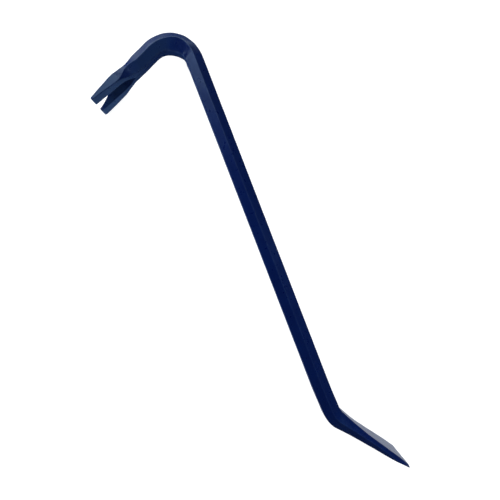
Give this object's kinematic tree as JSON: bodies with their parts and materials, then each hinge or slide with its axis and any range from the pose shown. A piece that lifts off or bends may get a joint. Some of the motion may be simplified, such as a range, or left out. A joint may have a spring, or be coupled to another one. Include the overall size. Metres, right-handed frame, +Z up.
{
  "type": "gooseneck wrecking bar",
  "caption": "Forged hexagonal pry bar with a hooked, notched nail-pulling claw at one end and an angled flat chisel at the other, painted dark blue.",
  "frame": {"origin": "bottom centre of the whole bar's bounding box, with the bar lying on its side", "axes": "+X along the shaft from the hook to the chisel, +Y towards the side the chisel bends to (the hook curls to -Y), +Z up, square to the plane of the bends"},
  "size_m": [0.4572, 0.1508, 0.0348],
  "materials": {
    "navy_paint": "gloss paint over forged steel"
  },
  "bodies": {
    "root": {"claw_tine_upper": "navy_paint", "claw_tine_lower": "navy_paint", "claw_root": "navy_paint", "gooseneck_bend": "navy_paint", "hex_shaft": "navy_paint", "heel_bend": "navy_paint", "chisel_blade": "navy_paint"}
  },
  "joints": []
}
